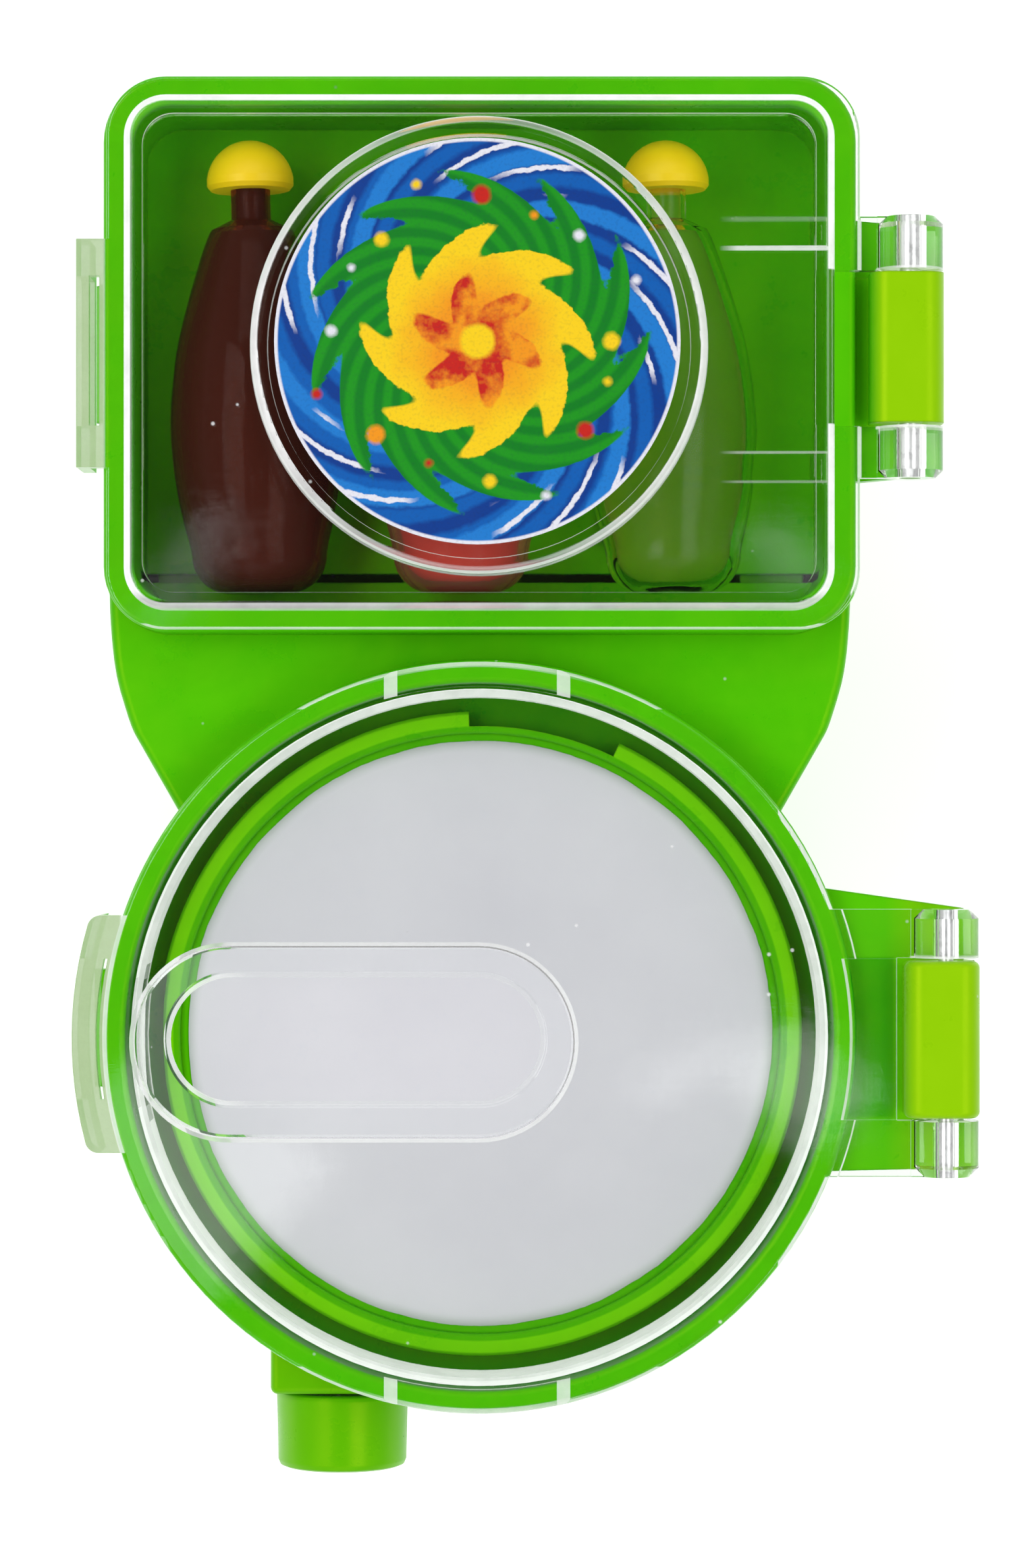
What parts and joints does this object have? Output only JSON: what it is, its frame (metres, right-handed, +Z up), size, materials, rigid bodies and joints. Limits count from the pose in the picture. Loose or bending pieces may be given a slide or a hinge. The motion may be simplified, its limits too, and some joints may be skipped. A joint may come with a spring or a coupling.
{
  "type": "spin art machine",
  "caption": "Small hand-cranked spin art toy: geared turntable for paper discs under a clear slotted lid, with a lidded store for paint bottles.",
  "frame": {"origin": "on the flat underside of the bottom cover, under the turntable spindle", "axes": "+Z up along the spindle, +Y from the spindle towards the bottle store, +X towards the hinge side"},
  "size_m": [0.0608, 0.0954, 0.0365],
  "materials": {
    "green_plastic": "semi-gloss injection moulded polystyrene",
    "clear_plastic": "clear gloss polystyrene",
    "white_plastic": "acetal, satin",
    "steel": "drawn wire, ground",
    "screw_steel": "zinc plated",
    "bush_brass": "turned",
    "paper": "uncoated card, cut edge",
    "label_print": null,
    "cap_yellow": "moulded, semi-gloss",
    "cap_orange": "moulded, semi-gloss",
    "bottle_clear": "blow-moulded translucent polyethylene",
    "paint_maroon": "liquid paint",
    "paint_red": "liquid paint",
    "paint_lime": "liquid paint"
  },
  "bodies": {
    "machine": {"upper_case": "green_plastic", "bottom_cover": "green_plastic", "cover_screws": "screw_steel", "frame_screws": "screw_steel", "gear_frame": "white_plastic", "crank_bush": "bush_brass", "spindle_bush": "bush_brass", "thrust_washer": "white_plastic", "storage_hinge_pin": "steel", "round_hinge_pin": "steel", "bottle_left": "bottle_clear", "bottle_middle": "bottle_clear", "bottle_right": "bottle_clear", "cap_left": "cap_yellow", "cap_middle": "cap_orange", "cap_right": "cap_yellow", "paint_left": "paint_maroon", "paint_middle": "paint_red", "paint_right": "paint_lime"},
    "storage_cover": {"storage_lid": "clear_plastic", "label": "label_print"},
    "chamber_cover": {"round_lid": "clear_plastic"},
    "turntable_set": {"turntable": "green_plastic", "paper_disc": "paper", "spindle": "steel", "spindle_pinion": "white_plastic", "spindle_clip": "steel"},
    "layshaft_set": {"layshaft": "steel", "layshaft_pinion": "white_plastic", "crown_gear": "white_plastic"},
    "crank_set": {"crank_shaft": "steel", "crank_gear": "white_plastic", "crank_arm": "green_plastic", "crank_screw": "screw_steel", "crank_clip": "steel", "grip_pin": "screw_steel"},
    "grip_set": {"crank_grip": "green_plastic"}
  },
  "joints": [
    {"name": "crank_spin", "type": "hinge", "parent": "machine", "child": "crank_set", "pos_m": [-0.00975, 0, 0.012], "axis": [0, -1, 0], "continuous": true},
    {"name": "layshaft_spin", "type": "hinge", "parent": "machine", "child": "layshaft_set", "pos_m": [0, 0, 0.012], "axis": [0, -1, 0], "continuous": true},
    {"name": "turntable_spin", "type": "hinge", "parent": "machine", "child": "turntable_set", "pos_m": [0, 0, 0.0267], "axis": [0, 0, 1], "continuous": true},
    {"name": "grip_spin", "type": "hinge", "parent": "crank_set", "child": "grip_set", "pos_m": [-0.00975, -0.028, 0.018], "axis": [0, -1, 0], "continuous": true},
    {"name": "storage_lid_hinge", "type": "hinge", "parent": "machine", "child": "storage_cover", "pos_m": [0.0289, 0.0461, 0.0324], "axis": [0, 1, 0], "range_deg": [0, 165]},
    {"name": "round_lid_hinge", "type": "hinge", "parent": "machine", "child": "chamber_cover", "pos_m": [0.0313, 0, 0.0324], "axis": [0, 1, 0], "range_deg": [0, 165]}
  ],
  "couplings": [
    {"joint": "layshaft_spin", "follows": "crank_spin", "ratio": -2.5455},
    {"joint": "turntable_spin", "follows": "crank_spin", "ratio": 5.0909}
  ]
}
